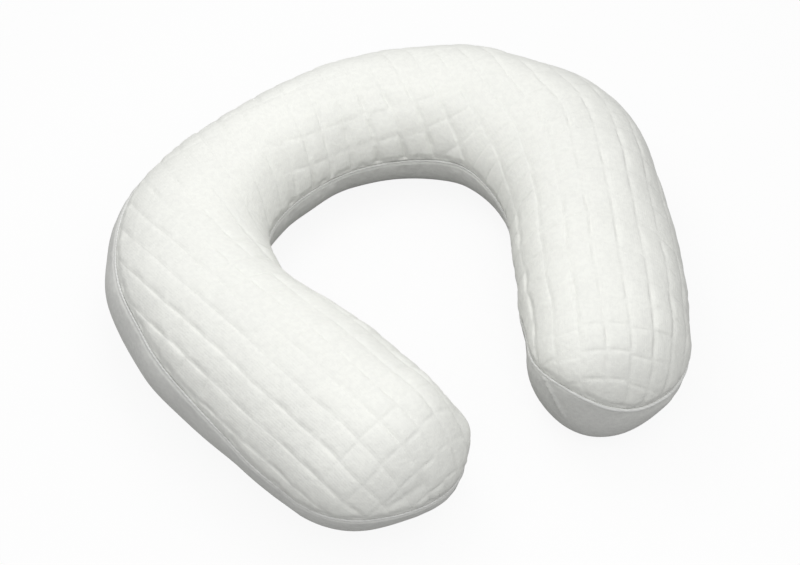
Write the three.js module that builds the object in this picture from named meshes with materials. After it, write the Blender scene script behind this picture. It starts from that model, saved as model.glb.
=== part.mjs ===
// Neck pillow: a filled U cushion sewn from a quilted upper panel and a plain under panel,
// with a welt in the seam between them.
// Millimetres, +Z up, the open end of the U towards -Y, resting on the under panel.
import * as THREE from 'three';

// The middle line of the cushion, from the left arm's tip round the back to the right arm's tip.
// outer and inner are the greatest reach in plan from the middle line, crown is the height of the top,
// and seamUp is how far above the widest level the seam lies on the outer side.
const STATIONS = [
  { place: 'left tip', x: -65.5, y: -194.7, outer: 46.3, inner: 39.3, crown: 77, seamUp: 0 },
  { place: 'left fore arm', x: -80, y: -157, outer: 49.2, inner: 41.3, crown: 77.5, seamUp: 8 },
  { place: 'left arm', x: -107.5, y: -89.5, outer: 43, inner: 41.5, crown: 76, seamUp: 22 },
  { place: 'left corner', x: -88.5, y: -33.5, outer: 37, inner: 38.5, crown: 72.5, seamUp: 26 },
  { place: 'back', x: 0, y: 0, outer: 30.5, inner: 36, crown: 72.5, seamUp: 6 },
  { place: 'right corner', x: 84, y: -26, outer: 38, inner: 40, crown: 74, seamUp: 0 },
  { place: 'right arm', x: 106.5, y: -91, outer: 42.5, inner: 43, crown: 78, seamUp: 0 },
  { place: 'right fore arm', x: 81, y: -158, outer: 43.8, inner: 39.2, crown: 78, seamUp: 0 },
  { place: 'right tip', x: 60.3, y: -198.9, outer: 41.2, inner: 36.7, crown: 78, seamUp: 0 },
];

// The rounded ends of the arms. Squareness 2 is an ellipse in plan, and skew moves the end to its inner side.
// The underside has a fullness of its own, greater to the inner side by underSkew, and the widest level
// is drawn up or down by rise, from a share of the way round to the inner side.
const TIPS = {
  left: {
    length: 44.3, squareness: 2.2, skew: 0.07, fullness: 1.85, underSkew: 0.1, rise: -9.5, riseFrom: 0.27,
  },
  right: {
    length: 39.4, squareness: 2.02, skew: 0, fullness: 3.3, underSkew: 0.45, rise: 9.6, riseFrom: 0.36,
  },
};

// The half sections turn more slowly than the middle line, over these shares of its length to both sides.
// Inside the U this keeps the corners round, and the swells are where the filling presses in or gives way.
const OUTSIDE_SPREAD = 0.05;
const INSIDE_SPREAD = 0.15;
const SPREAD_STEPS = 4;
const OUTSIDE_SWELLS = [
  { place: 'left arm', share: 0.24, width: 0.02, reach: -1.4 },
  { place: 'left side', share: 0.295, width: 0.04, reach: 2.1 },
  { place: 'left corner', share: 0.355, width: 0.035, reach: 1.9 },
  { place: 'left of the back', share: 0.436, width: 0.014, reach: -1.8 },
  { place: 'back', share: 0.493, width: 0.03, reach: -2.2 },
  { place: 'right of the back', share: 0.58, width: 0.035, reach: -1.7 },
  { place: 'right corner', share: 0.645, width: 0.035, reach: -7.6 },
  { place: 'right side', share: 0.72, width: 0.03, reach: 3.9 },
  { place: 'right arm', share: 0.81, width: 0.035, reach: -2.5 },
];
const INSIDE_SWELLS = [
  { place: 'left fore arm', share: 0.138, width: 0.025, reach: -1.6 },
  { place: 'left corner', share: 0.335, width: 0.085, reach: 4.4 },
  { place: 'left of the back', share: 0.42, width: 0.06, reach: -4.9 },
  { place: 'right corner', share: 0.655, width: 0.06, reach: 3.3 },
  { place: 'right fore arm', share: 0.935, width: 0.03, reach: 1.6 },
];

// The widest level of the cushion rises a little from the back to the tips. The seam lies on it or above it.
const WIDEST_HEIGHT = 36;
const WIDEST_RISE = 0.04;
const WIDEST_MIDDLE_Y = -110;

// Fullness of the section: 2 is an ellipse, more is boxier. The underside is pressed flat by FLATTENED.
const UPPER_FULLNESS = 2.08;
const UNDER_FULLNESS = { outside: 2.3, inside: 2.4, insideBack: 1.95 };
const FLATTENED = 2.5;

// Sewing sizes at the seam: the panels turn in from the lip to the seam allowance,
// and the welt lies in that groove.
const PANEL_GAP = 0.38;
const LIP = 2;
const SEAM_ALLOWANCE = 2.1;
const WELT_RADIUS = 1.1;

// The quilted grid: the size of a block, how high it stands, and its sloping border as a share of it.
// leastArea is the share of a cut block below which it stays low, as all do within LOW_EDGE of the seam.
const BLOCK = { along: 13.45, height: 1.1, border: 0.17, leastArea: 0.12 };
const LOW_EDGE = 6;

// The grid runs straight at the back and leans in with each arm, and its rows turn across the arms.
// The groove of number line follows the middle of the arm; spacing is between grooves, measured along x.
const ARM_GRID = {
  left: {
    side: -1, axis: 124.6, line: 10, spacing: 13, leanFrom: -20, lean: 0.36,
    rowTilt: 0.375, rowShift: 0.62, rowSlip: 0,
  },
  right: {
    side: 1, axis: 105, line: 8, spacing: 13.4, leanFrom: -70, lean: 0.49,
    rowTilt: 0.64, rowShift: 0.2, rowSlip: 0.5,
  },
};
const ROW_TURN_FROM = -30;
const ROW_TURN_SOFTNESS = 90;
const ROW_SLIP_Y = -195;
const ROW_SLIP_WIDTH = 28;
const LEAN_SOFTNESS = 30;
const STRAIGHT_HALF_WIDTH = 25;
const STRAIGHT_FROM_Y = -110;
const STRAIGHT_TO_Y = -60;

// Inside the U the flat cloth is eased in towards this reach.
const EASED_REACH = 58;

// Mesh steps.
const STEPS_PER_STATION = 9;
const TIP_STEPS = 13;
const TIP_MIDDLE = (TIP_STEPS - 1) / 2;
const UNDER_STEPS = 6;
const ARC_STEPS = 24;
const SEARCH_STEPS = 240;
const SEARCH_PAST = 0.03;
const SETTLE_STEPS = 40;
const WELT_SIDES = 6;

// Middle line and half sections

function curveThrough(points) {
  return new THREE.CatmullRomCurve3(points, false, 'catmullrom', 0.5);
}

const placeLine = curveThrough(STATIONS.map((row) => new THREE.Vector3(row.x, row.y, 0)));
const girthLine = curveThrough(STATIONS.map((row) => new THREE.Vector3(row.outer, row.inner, row.crown)));
const seamLine = curveThrough(STATIONS.map((row) => new THREE.Vector3(row.seamUp, 0, 0)));

function outAt(t) {
  const along = placeLine.getTangent(t);
  return new THREE.Vector2(-along.y, along.x).normalize();
}

// The direction out of the U, turning more slowly than the middle line.
function spreadOut(t, spread) {
  const width = Math.min(spread, t, 1 - t);
  const total = new THREE.Vector2();
  for (let i = -SPREAD_STEPS; i <= SPREAD_STEPS; i += 1) total.add(outAt(t + width * i / SPREAD_STEPS));
  return total.normalize();
}

function stationAt(t) {
  const place = placeLine.getPoint(t);
  const out = outAt(t);
  const girth = girthLine.getPoint(t);
  return {
    t,
    centre: new THREE.Vector2(place.x, place.y),
    along: new THREE.Vector2(out.y, -out.x),
    out,
    outer: girth.x,
    inner: girth.y,
    crown: girth.z,
    seamUp: Math.max(0, seamLine.getPoint(t).x),
    nearTip: Math.abs(2 * t - 1),
    arm: t < 0.5 ? ARM_GRID.left : ARM_GRID.right,
  };
}

function widestHeight(y) {
  return WIDEST_HEIGHT - WIDEST_RISE * (y - WIDEST_MIDDLE_Y);
}

// A ray is one half section, from the middle line outwards.
// ease is 1 inside the U, where the flat cloth is eased in.
function makeRay(station, aim, reach, fullness, ease, rise = 0, seamUp = 0) {
  const { t, centre, arm, crown } = station;
  const widest = widestHeight(centre.y + aim.y * reach) + rise;
  return { t, centre, arm, crown, aim, reach, fullness, ease, widest, seamUp };
}

// How far the filling presses out at share t of the middle line, or gives way.
function swelling(t, swells) {
  return swells.reduce((sum, row) => sum + row.reach * Math.exp(-(((t - row.share) / row.width) ** 2)), 0);
}

function outsideRay(t) {
  const station = stationAt(t);
  const aim = spreadOut(t, OUTSIDE_SPREAD);
  const reach = station.outer + swelling(t, OUTSIDE_SWELLS);
  return makeRay(station, aim, reach, UNDER_FULLNESS.outside, 0, 0, station.seamUp);
}

function insideRay(t) {
  const station = stationAt(t);
  const toArm = Math.min(1, 2 * station.nearTip);
  const fullness = THREE.MathUtils.lerp(UNDER_FULLNESS.insideBack, UNDER_FULLNESS.inside, toArm);
  const reach = station.inner + swelling(t, INSIDE_SWELLS);
  return makeRay(station, spreadOut(t, INSIDE_SPREAD).negate(), reach, fullness, 1);
}

// turn is 0 at the outside of the arm, a half at its foremost point and 1 at the inside.
function tipRay(t, turn) {
  const station = stationAt(t);
  const forward = station.along.clone().multiplyScalar(t > 0.5 ? 1 : -1);
  const tip = t > 0.5 ? TIPS.right : TIPS.left;
  const across = Math.cos(Math.PI * turn);
  const ahead = Math.sin(Math.PI * turn);
  const toInside = -Math.sin(2 * Math.PI * turn);
  const side = across >= 0 ? station.outer : station.inner;
  const sum = Math.abs(across / side) ** tip.squareness + Math.abs(ahead / tip.length) ** tip.squareness;
  const reach = sum ** (-1 / tip.squareness) * (1 + tip.skew * toInside);
  const aim = station.out.clone().multiplyScalar(across).addScaledVector(forward, ahead);
  const sideFullness = across >= 0 ? UNDER_FULLNESS.outside : UNDER_FULLNESS.inside;
  const fullness = THREE.MathUtils.lerp(sideFullness, tip.fullness, ahead * ahead) + tip.underSkew * toInside;
  const wayRound = THREE.MathUtils.clamp((turn - tip.riseFrom) / (1 - tip.riseFrom), 0, 1);
  const rise = tip.rise * Math.sin(Math.PI * wayRound) ** 2;
  const seamUp = station.seamUp * Math.max(0, across) ** 2;
  return makeRay(station, aim, reach, fullness, across >= 0 ? 0 : across * across, rise, seamUp);
}

// All rays in order round the panel, anticlockwise from above:
// left tip, inside of the U, right tip, outside of the U.
function loopOfRays() {
  const steps = (STATIONS.length - 1) * STEPS_PER_STATION;
  const rays = [];
  for (let i = 1; i <= TIP_STEPS; i += 1) rays.push(tipRay(0, i / (TIP_STEPS + 1)));
  for (let i = 0; i <= steps; i += 1) rays.push(insideRay(i / steps));
  for (let i = TIP_STEPS; i >= 1; i -= 1) rays.push(tipRay(1, i / (TIP_STEPS + 1)));
  for (let i = steps; i >= 0; i -= 1) rays.push(outsideRay(i / steps));
  return rays;
}

function pointOn(ray, offset, height) {
  return new THREE.Vector3(ray.centre.x + ray.aim.x * offset, ray.centre.y + ray.aim.y * offset, height);
}

// The upper half section from the crown to the lip over the seam, with its running length.
function upperArc(ray) {
  const rise = ray.crown - ray.widest;
  const last = Math.acos(((ray.seamUp + LIP) / rise) ** (UPPER_FULLNESS / 2));
  const arc = [];
  let length = 0;
  for (let i = 0; i <= ARC_STEPS; i += 1) {
    const angle = last * i / ARC_STEPS;
    const offset = ray.reach * Math.sin(angle) ** (2 / UPPER_FULLNESS);
    const height = ray.widest + rise * Math.cos(angle) ** (2 / UPPER_FULLNESS);
    if (i > 0) length += Math.hypot(offset - arc[i - 1].offset, height - arc[i - 1].height);
    arc.push({ offset, height, length });
  }
  return arc;
}

function lipPoint(ray) {
  const arc = upperArc(ray);
  return pointOn(ray, arc[ARC_STEPS].offset, arc[ARC_STEPS].height);
}

// Where the seam lies in a half section, and the outward direction there.
function seamPlace(ray) {
  const rise = ray.crown - ray.widest;
  const high = ray.seamUp / rise;
  const wide = (1 - high ** UPPER_FULLNESS) ** (1 / UPPER_FULLNESS);
  const away = new THREE.Vector2(
    wide ** (UPPER_FULLNESS - 1) / ray.reach, high ** (UPPER_FULLNESS - 1) / rise).normalize();
  return { offset: ray.reach * wide, height: ray.widest + ray.seamUp, out: away.x, up: away.y };
}

// The edge that a panel turns in to, on its own side of the seam.
function turnedEdge(ray, upper) {
  const seam = seamPlace(ray);
  const height = seam.height - SEAM_ALLOWANCE * seam.up + (upper ? PANEL_GAP : -PANEL_GAP) / 2;
  return pointOn(ray, seam.offset - SEAM_ALLOWANCE * seam.out, height);
}

// The under half section from below the seam, share 0, down to the flat base, share 1.
// It starts above the widest level where the seam lies well above it.
function underPoint(ray, share) {
  const rise = ray.crown - ray.widest;
  const drop = ray.widest + FLATTENED;
  const past = ray.seamUp - LIP;
  const first = past < 0
    ? Math.asin((-past / drop) ** (ray.fullness / 2))
    : -Math.asin((past / rise) ** (UPPER_FULLNESS / 2));
  const last = Math.asin((ray.widest / drop) ** (ray.fullness / 2));
  const angle = THREE.MathUtils.lerp(first, last, share);
  if (angle < 0) {
    const height = ray.widest + rise * Math.sin(-angle) ** (2 / UPPER_FULLNESS);
    return pointOn(ray, ray.reach * Math.cos(angle) ** (2 / UPPER_FULLNESS), height);
  }
  const height = ray.widest - drop * Math.sin(angle) ** (2 / ray.fullness);
  return pointOn(ray, ray.reach * Math.cos(angle) ** (2 / ray.fullness), share === 1 ? 0 : height);
}

// The upper panel laid flat, and the quilted grid on it

// Lengths from the crown are true on the flat panel, but eased in towards the seam inside the U.
function flatLength(ray, run) {
  return run / (1 + ray.ease * (run / EASED_REACH) ** 4) ** 0.25;
}

function runOfFlat(ray, flat) {
  return flat / Math.max(0.01, 1 - ray.ease * (flat / EASED_REACH) ** 4) ** 0.25;
}

function flatEdge(ray) {
  return ray.centre.clone().addScaledVector(ray.aim, flatLength(ray, upperArc(ray)[ARC_STEPS].length));
}

// How far the grooves of an arm have moved in at a place, and how much they and the rows have turned, 0 to 1.
// x is counted outwards, and the middle of the back stays straight.
function armTurn(arm, x, y) {
  const past = Math.max(0, arm.leanFrom - y);
  const atBack = THREE.MathUtils.smoothstep(y, STRAIGHT_FROM_Y, STRAIGHT_TO_Y);
  const straight = atBack / (1 + (x / STRAIGHT_HALF_WIDTH) ** 2);
  const turned = past / (past + LEAN_SOFTNESS) * (1 - straight);
  const pastRows = Math.max(0, ROW_TURN_FROM - y);
  const rows = pastRows ** 2 / (pastRows ** 2 + ROW_TURN_SOFTNESS ** 2) * (1 - straight);
  return { turned, rows, lean: arm.lean * past * turned };
}

function grooveSpacing(arm, turned) {
  return THREE.MathUtils.lerp(arm.axis / arm.line, arm.spacing, turned);
}

// What the turning of the rows across an arm adds to their number at a place.
function rowTurn(arm, x, y) {
  const { turned, rows } = armTurn(arm, x, y);
  const tilted = arm.rowTilt * rows * (x + armTurn(arm, arm.axis, y).lean - arm.axis);
  const slip = arm.rowSlip * Math.exp(-(((y - ROW_SLIP_Y) / ROW_SLIP_WIDTH) ** 2));
  return tilted / BLOCK.along + arm.rowShift * turned + slip;
}

// Grid numbers of a place on the flat panel: whole numbers of u and v are the grooves.
function gridOf(place, arm) {
  const x = arm.side * place.x;
  const { turned, lean } = armTurn(arm, x, place.y);
  return {
    u: arm.side * (arm.line + (x + lean - arm.axis) / grooveSpacing(arm, turned)),
    v: place.y / BLOCK.along + rowTurn(arm, x, place.y),
  };
}

function armOf(u) {
  return u < 0 ? ARM_GRID.left : ARM_GRID.right;
}

// The way back from grid numbers to the flat panel, settled step by step.
function placeOf(u, v) {
  const arm = armOf(u);
  let x = arm.axis;
  let y = v * BLOCK.along;
  for (let i = 0; i < SETTLE_STEPS; i += 1) {
    const { turned, lean } = armTurn(arm, x, y);
    x = arm.axis - lean + (arm.side * u - arm.line) * grooveSpacing(arm, turned);
    y = BLOCK.along * (v - rowTurn(arm, x, y));
  }
  return new THREE.Vector2(arm.side * x, y);
}

// Close rays along the outside and the inside of an arm,
// from its tip to a little past the middle of the back.
function closeRays(arm) {
  const tip = arm === ARM_GRID.left ? 0 : 1;
  const last = THREE.MathUtils.lerp(0.5, 1 - tip, SEARCH_PAST);
  return [outsideRay, insideRay].map((rayAt) => {
    const rays = [];
    for (let i = 0; i <= SEARCH_STEPS; i += 1) {
      rays.push(rayAt(THREE.MathUtils.lerp(tip, last, i / SEARCH_STEPS)));
    }
    return { rayAt, rays };
  });
}

const raysOfArm = new Map(Object.values(ARM_GRID).map((arm) => [arm, closeRays(arm)]));

// How far a place on the flat panel is to one side of a ray's line.
function besideRay(ray, place) {
  return ray.aim.x * (place.y - ray.centre.y) - ray.aim.y * (place.x - ray.centre.x);
}

// The ray of an arm that passes a place on the flat panel.
function rayThrough(place, arm) {
  const end = stationAt(arm === ARM_GRID.left ? 0 : 1);
  const forward = end.along.clone().multiplyScalar(arm.side);
  const from = place.clone().sub(end.centre);
  if (from.dot(forward) > 0) {
    return tipRay(end.t, Math.atan2(from.dot(forward), from.dot(end.out)) / Math.PI);
  }
  let best = { distance: Infinity, ray: null };
  raysOfArm.get(arm).forEach(({ rayAt, rays }) => {
    for (let i = 0; i < SEARCH_STEPS; i += 1) {
      const a = besideRay(rays[i], place);
      const b = besideRay(rays[i + 1], place);
      if (a * b <= 0 && a !== b) {
        const ray = rayAt(THREE.MathUtils.lerp(rays[i].t, rays[i + 1].t, a / (a - b)));
        const distance = place.clone().sub(ray.centre).dot(ray.aim);
        if (distance >= 0 && distance < best.distance) best = { distance, ray };
      }
    }
  });
  return best.ray;
}

// The point of the filled panel at a place in the grid, raised by lift and kept low along the seam.
function surfacePoint(u, v, lift) {
  const place = placeOf(u, v);
  const ray = rayThrough(place, armOf(u));
  const arc = upperArc(ray);
  const length = arc[ARC_STEPS].length;
  const wanted = Math.min(length, runOfFlat(ray, place.distanceTo(ray.centre)));
  let i = 1;
  while (i < ARC_STEPS && arc[i].length < wanted) i += 1;
  const part = (wanted - arc[i - 1].length) / (arc[i].length - arc[i - 1].length);
  const run = arc[i].offset - arc[i - 1].offset;
  const fall = arc[i].height - arc[i - 1].height;
  const raise = lift * THREE.MathUtils.smoothstep(length - wanted, 0, LOW_EDGE) / Math.hypot(run, fall);
  const offset = arc[i - 1].offset + part * run - raise * fall;
  const height = arc[i - 1].height + part * fall + raise * run;
  return pointOn(ray, offset, height);
}

// Shells of triangles

// Gathers triangles over welded points and makes one closed geometry.
class Shell {
  constructor() {
    this.points = [];
    this.numbers = new Map();
    this.faces = [];
  }

  number(point) {
    const key = point.toArray().map((value) => value.toFixed(3)).join();
    if (!this.numbers.has(key)) {
      this.numbers.set(key, this.points.length);
      this.points.push(point);
    }
    return this.numbers.get(key);
  }

  triangle(a, b, c) {
    const face = [this.number(a), this.number(b), this.number(c)];
    if (new Set(face).size === 3) this.faces.push(face);
  }

  quad(a, b, c, d) {
    this.triangle(a, b, c);
    this.triangle(a, c, d);
  }

  // Joins two closed rings of the same count; the second lies above or inside the first, seen from outside.
  band(first, second) {
    first.forEach((point, i) => {
      const next = (i + 1) % first.length;
      this.quad(point, first[next], second[next], second[i]);
    });
  }

  // Fills a ring that runs anticlockwise from above, facing up or down.
  fill(ring, up) {
    const flat = ring.map((point) => new THREE.Vector2(point.x, point.y));
    THREE.ShapeUtils.triangulateShape(flat, []).forEach(([a, b, c]) => {
      const facesUp = flat[b].clone().sub(flat[a]).cross(flat[c].clone().sub(flat[a])) > 0;
      if (facesUp === up) this.triangle(ring[a], ring[b], ring[c]);
      else this.triangle(ring[a], ring[c], ring[b]);
    });
  }

  // Fills such a ring with a ladder of quads, from the point numbered start on to both sides.
  fillAcross(ring, start, up) {
    const at = (i) => ring[(i + ring.length) % ring.length];
    for (let i = 0; i < ring.length / 2; i += 1) {
      const step = [at(start - i - 1), at(start - i), at(start + i), at(start + i + 1)];
      if (up) this.quad(step[0], step[1], step[2], step[3]);
      else this.quad(step[0], step[3], step[2], step[1]);
    }
  }

  geometry() {
    const made = new THREE.BufferGeometry();
    const places = this.points.flatMap((point) => point.toArray());
    made.setAttribute('position', new THREE.Float32BufferAttribute(places, 3));
    made.setIndex(this.faces.flat());
    made.computeVertexNormals();
    return made;
  }
}

// Quilted upper panel

// Splits the outline where it crosses the grooves, so that each step of it lies in one block.
// edge numbers the points along the outline: whole numbers are its own points, the others are crossings.
function splitOutline(outline) {
  const points = [];
  outline.forEach((a, i) => {
    const b = outline[(i + 1) % outline.length];
    const cuts = [];
    ['u', 'v'].forEach((axis) => {
      const last = Math.floor(Math.max(a[axis], b[axis]));
      for (let line = Math.ceil(Math.min(a[axis], b[axis])); line <= last; line += 1) {
        const part = (line - a[axis]) / (b[axis] - a[axis]);
        const cut = { edge: i + part };
        cut.u = THREE.MathUtils.lerp(a.u, b.u, part);
        cut.v = THREE.MathUtils.lerp(a.v, b.v, part);
        cut[axis] = line;
        cuts.push(cut);
      }
    });
    points.push({ ...a, edge: i }, ...cuts.sort((p, q) => p.edge - q.edge));
  });
  return points;
}

// The outline as runs, each from where it enters a block to where it leaves it.
function runsByBlock(points) {
  const names = points.map((point, i) => {
    const next = points[(i + 1) % points.length];
    return `${Math.floor((point.u + next.u) / 2)},${Math.floor((point.v + next.v) / 2)}`;
  });
  const start = names.findIndex((name, i) => name !== names.at(i - 1));
  const runs = new Map();
  let run = [];
  for (let k = 0; k < points.length; k += 1) {
    const i = (start + k) % points.length;
    const next = (i + 1) % points.length;
    run.push(points[i]);
    if (names[next] !== names[i]) {
      run.push(points[next]);
      runs.set(names[i], [...(runs.get(names[i]) ?? []), run]);
      run = [];
    }
  }
  return runs;
}

function wholeBlock(i, j) {
  return [[i, j], [i + 1, j], [i + 1, j + 1], [i, j + 1]].map(([u, v]) => ({ u, v, edge: null }));
}

// What the outline leaves of a block: each run goes on round the block's border to the next run.
function cutBlock(i, j, runs) {
  const corners = wholeBlock(i, j);
  const around = (point) => {
    if (point.v === j) return point.u - i;
    if (point.u === i + 1) return 1 + point.v - j;
    if (point.v === j + 1) return 3 + i - point.u;
    return 4 + j - point.v;
  };
  const waiting = new Set(runs);
  const polygons = [];
  while (waiting.size > 0) {
    const polygon = [];
    let [run] = waiting;
    while (waiting.delete(run)) {
      const leave = around(run.at(-1));
      const way = (place) => (place - leave + 4) % 4;
      const wayTo = (other) => way(around(other[0]));
      const next = runs.reduce((best, other) => (wayTo(other) < wayTo(best) ? other : best));
      const passed = corners.filter((corner, k) => way(k) < wayTo(next));
      passed.sort((a, b) => way(corners.indexOf(a)) - way(corners.indexOf(b)));
      polygon.push(...run, ...passed);
      run = next;
    }
    polygons.push(polygon);
  }
  return polygons;
}

function isInside(outline, u, v) {
  return outline.reduce((inside, a, i) => {
    const b = outline[(i + 1) % outline.length];
    const spans = (a.v > v) !== (b.v > v);
    return spans && u < a.u + (v - a.v) / (b.v - a.v) * (b.u - a.u) ? !inside : inside;
  }, false);
}

function areaOf(polygon) {
  return polygon.reduce((sum, a, i) => {
    const b = polygon[(i + 1) % polygon.length];
    return sum + (a.u * b.v - b.u * a.v) / 2;
  }, 0);
}

function middleOf(polygon) {
  const mean = (axis) => polygon.reduce((sum, point) => sum + point[axis], 0) / polygon.length;
  return { u: mean('u'), v: mean('v') };
}

// Adds one block: a low border that slopes up to a raised middle,
// or a low patch where the seam leaves little of it.
function addBlock(shell, polygon, edgePoint) {
  const middle = middleOf(polygon);
  const low = polygon.map((point) => (
    point.edge === null ? surfacePoint(point.u, point.v, 0) : edgePoint(point.edge)));
  if (areaOf(polygon) < BLOCK.leastArea) {
    const centre = surfacePoint(middle.u, middle.v, 0);
    low.forEach((point, i) => shell.triangle(centre, point, low[(i + 1) % low.length]));
    return;
  }
  const shrink = 1 - 2 * BLOCK.border;
  const high = polygon.map((point) => surfacePoint(
    middle.u + (point.u - middle.u) * shrink, middle.v + (point.v - middle.v) * shrink, BLOCK.height));
  shell.band(low, high);
  for (let i = 1; i < high.length - 1; i += 1) shell.triangle(high[0], high[i], high[i + 1]);
}

function makeQuiltedTop(rays) {
  const shell = new Shell();
  const count = rays.length;
  const lips = rays.map(lipPoint);
  const edges = rays.map((ray) => turnedEdge(ray, true));
  const outline = rays.map((ray) => gridOf(flatEdge(ray), ray.arm));
  const points = splitOutline(outline);
  const runs = runsByBlock(points);
  const edgePoint = (edge) => {
    const from = Math.floor(edge);
    return lips[from % count].clone().lerp(lips[(from + 1) % count], edge - from);
  };
  const range = (axis) => outline.map((point) => Math.floor(point[axis]));
  for (let i = Math.min(...range('u')); i <= Math.max(...range('u')); i += 1) {
    for (let j = Math.min(...range('v')); j <= Math.max(...range('v')); j += 1) {
      const found = runs.get(`${i},${j}`);
      if (found) cutBlock(i, j, found).forEach((polygon) => addBlock(shell, polygon, edgePoint));
      else if (isInside(outline, i + 0.5, j + 0.5)) addBlock(shell, wholeBlock(i, j), edgePoint);
    }
  }
  // The turned-in edge below the lip, one outline step at a time.
  edges.forEach((edge, i) => {
    const next = (i + 1) % count;
    const own = points.filter((point) => Math.floor(point.edge) === i);
    const run = [...own.map((point) => edgePoint(point.edge)), lips[next]];
    for (let k = 0; k < run.length - 1; k += 1) shell.triangle(edge, run[k + 1], run[k]);
    shell.triangle(edge, edges[next], lips[next]);
  });
  shell.fillAcross(edges, TIP_MIDDLE, false);
  return shell.geometry();
}

// Plain under panel

function makePlainBase(rays) {
  const shell = new Shell();
  const rings = [rays.map((ray) => turnedEdge(ray, false))];
  for (let i = 0; i <= UNDER_STEPS; i += 1) rings.push(rays.map((ray) => underPoint(ray, i / UNDER_STEPS)));
  rings.slice(1).forEach((ring, i) => shell.band(ring, rings[i]));
  shell.fillAcross(rings[0], TIP_MIDDLE, true);
  shell.fill(rings[rings.length - 1], false);
  return shell.geometry();
}

// Welt in the seam

function makeWelt(rays) {
  const shell = new Shell();
  const centres = rays.map((ray) => pointOn(ray, seamPlace(ray).offset, seamPlace(ray).height));
  const rings = [];
  for (let side = 0; side < WELT_SIDES; side += 1) {
    const angle = 2 * Math.PI * side / WELT_SIDES;
    rings.push(centres.map((centre, i) => {
      const before = centres[(i + centres.length - 1) % centres.length];
      const after = centres[(i + 1) % centres.length];
      const along = new THREE.Vector2(after.x - before.x, after.y - before.y).normalize();
      const out = WELT_RADIUS * Math.cos(angle);
      return new THREE.Vector3(
        centre.x + along.y * out, centre.y - along.x * out, centre.z + WELT_RADIUS * Math.sin(angle));
    }));
  }
  rings.forEach((ring, side) => shell.band(ring, rings[(side + 1) % WELT_SIDES]));
  return shell.geometry();
}

// The part

function makeMesh(name, geometry, colour) {
  const mesh = new THREE.Mesh(geometry, new THREE.MeshStandardMaterial({ color: colour, roughness: 0.9 }));
  mesh.name = name;
  return mesh;
}

const rays = loopOfRays();
const pillow = new THREE.Group();
pillow.name = 'neck_pillow';
pillow.add(makeMesh('quilted_top', makeQuiltedTop(rays), '#f3f2ec'));
pillow.add(makeMesh('plain_base', makePlainBase(rays), '#e9e8e4'));
pillow.add(makeMesh('seam_piping', makeWelt(rays), '#f6f5f0'));

// The frame's origin is the middle of the pillow's box on its base.
const box = new THREE.Box3().setFromObject(pillow);
const middle = box.getCenter(new THREE.Vector3());
pillow.children.forEach((mesh) => mesh.geometry.translate(-middle.x, -middle.y, -box.min.z));

export default pillow;
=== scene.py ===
"""The looks of the neck pillow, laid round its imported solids.

A quilted upper panel and a plain under panel cover one filled U form, with a welt in the seam between them
and a short closing seam at each arm tip. The form is worked out in millimetres and placed in metres.
"""
import math
from types import SimpleNamespace

import bpy
import numpy as np
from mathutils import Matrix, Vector


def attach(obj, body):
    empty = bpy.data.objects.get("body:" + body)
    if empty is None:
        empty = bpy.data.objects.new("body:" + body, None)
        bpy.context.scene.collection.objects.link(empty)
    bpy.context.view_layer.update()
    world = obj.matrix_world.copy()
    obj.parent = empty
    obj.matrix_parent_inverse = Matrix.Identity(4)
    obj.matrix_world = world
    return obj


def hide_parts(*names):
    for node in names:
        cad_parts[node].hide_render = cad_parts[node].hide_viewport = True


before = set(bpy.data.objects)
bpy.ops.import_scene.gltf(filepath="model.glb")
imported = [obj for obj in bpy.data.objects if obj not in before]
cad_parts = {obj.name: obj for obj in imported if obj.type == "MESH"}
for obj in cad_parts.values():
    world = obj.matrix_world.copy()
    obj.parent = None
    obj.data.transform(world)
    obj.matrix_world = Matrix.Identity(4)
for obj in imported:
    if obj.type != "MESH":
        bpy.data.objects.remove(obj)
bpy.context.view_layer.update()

MM = 0.001

# The middle line of the cushion, from the left arm's tip round the back to the right arm's tip. Each station
# has its x and y, the greatest reach in plan to the outer and the inner side, the height of the crown, and
# how far above the widest level the seam lies on the outer side.
STATIONS = {
    "left tip": (-65.5, -194.7, 46.3, 39.3, 77, 0),
    "left fore arm": (-80, -157, 49.2, 41.3, 77.5, 8),
    "left arm": (-107.5, -89.5, 43, 41.5, 76, 22),
    "left corner": (-88.5, -33.5, 37, 38.5, 72.5, 26),
    "back": (0, 0, 30.5, 36, 72.5, 6),
    "right corner": (84, -26, 38, 40, 74, 0),
    "right arm": (106.5, -91, 42.5, 43, 78, 0),
    "right fore arm": (81, -158, 43.8, 39.2, 78, 0),
    "right tip": (60.3, -198.9, 41.2, 36.7, 78, 0),
}
MIDDLE_SHARE = 0.5

# The rounded ends of the arms. Squareness 2 is an ellipse in plan, and skew moves the end to its inner side.
# The underside has a fullness of its own, greater to the inner side by under_skew, and the widest level
# is drawn up or down by rise, from a share of the way round to the inner side.
TIPS = {
    "left": {"length": 44.3, "squareness": 2.2, "skew": 0.07, "fullness": 1.85, "under_skew": 0.1,
             "rise": -9.5, "rise_from": 0.27},
    "right": {"length": 39.4, "squareness": 2.02, "skew": 0.0, "fullness": 3.3, "under_skew": 0.45,
              "rise": 9.6, "rise_from": 0.36},
}

# The half sections turn more slowly than the middle line, over these shares of its length to both sides.
# Inside the U this keeps the corners round.
OUTSIDE_SPREAD = 0.05
INSIDE_SPREAD = 0.15
SPREAD_STEPS = 4

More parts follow.
